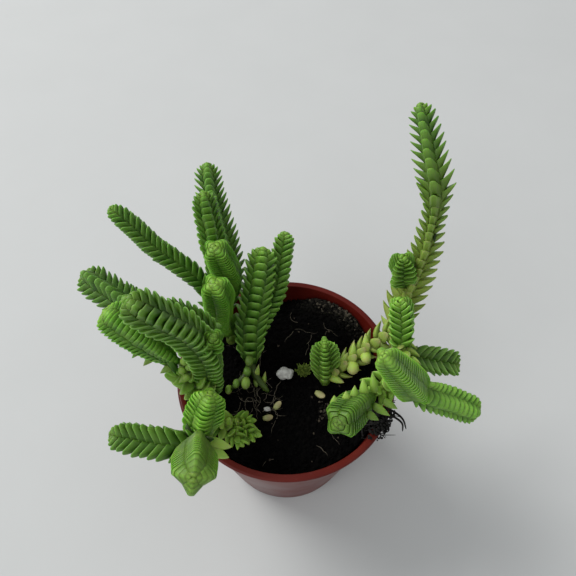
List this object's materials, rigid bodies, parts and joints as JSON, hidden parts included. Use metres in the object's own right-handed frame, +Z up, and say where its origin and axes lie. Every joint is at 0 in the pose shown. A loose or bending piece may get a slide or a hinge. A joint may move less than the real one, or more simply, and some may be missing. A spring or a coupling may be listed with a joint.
{
  "type": "potted crassula",
  "caption": "Small succulent with square, upright and trailing shoots of tightly stacked fleshy leaves, growing in dark soil in a thin red-brown plastic nursery pot.",
  "frame": {"origin": "centre of the pot's flat base, on its underside", "axes": "+Z up, -Y towards the front of the pot as pictured, +X to the right"},
  "size_m": [0.092, 0.0788, 0.1005],
  "materials": {
    "pot_plastic": "semi-gloss moulded plastic",
    "potting_soil": "loose crumbly earth",
    "left_stem": "living fleshy leaves, satin",
    "back_left_stem": "living fleshy leaves, satin",
    "ladder_stem": "living fleshy leaves, satin",
    "front_left_stem": "living fleshy leaves, satin",
    "right_stem": "living fleshy leaves, satin",
    "pale_leaf": "drying fleshy leaf",
    "white_grain": "rough volcanic grain",
    "moss": "soft moss",
    "dry_root": "dry fibrous root"
  },
  "bodies": {
    "root": {"pot": "pot_plastic", "soil": "potting_soil", "left_stem": "left_stem", "back_left_stem": "back_left_stem", "ladder_stem": "ladder_stem", "front_left_stem": "front_left_stem", "right_stem": "right_stem", "fallen_leaf_1": "pale_leaf", "fallen_leaf_2": "pale_leaf", "fallen_leaf_3": "pale_leaf", "white_grain_1": "white_grain", "white_grain_2": "white_grain", "moss_sprig": "moss", "root_tuft": "dry_root"}
  },
  "joints": []
}
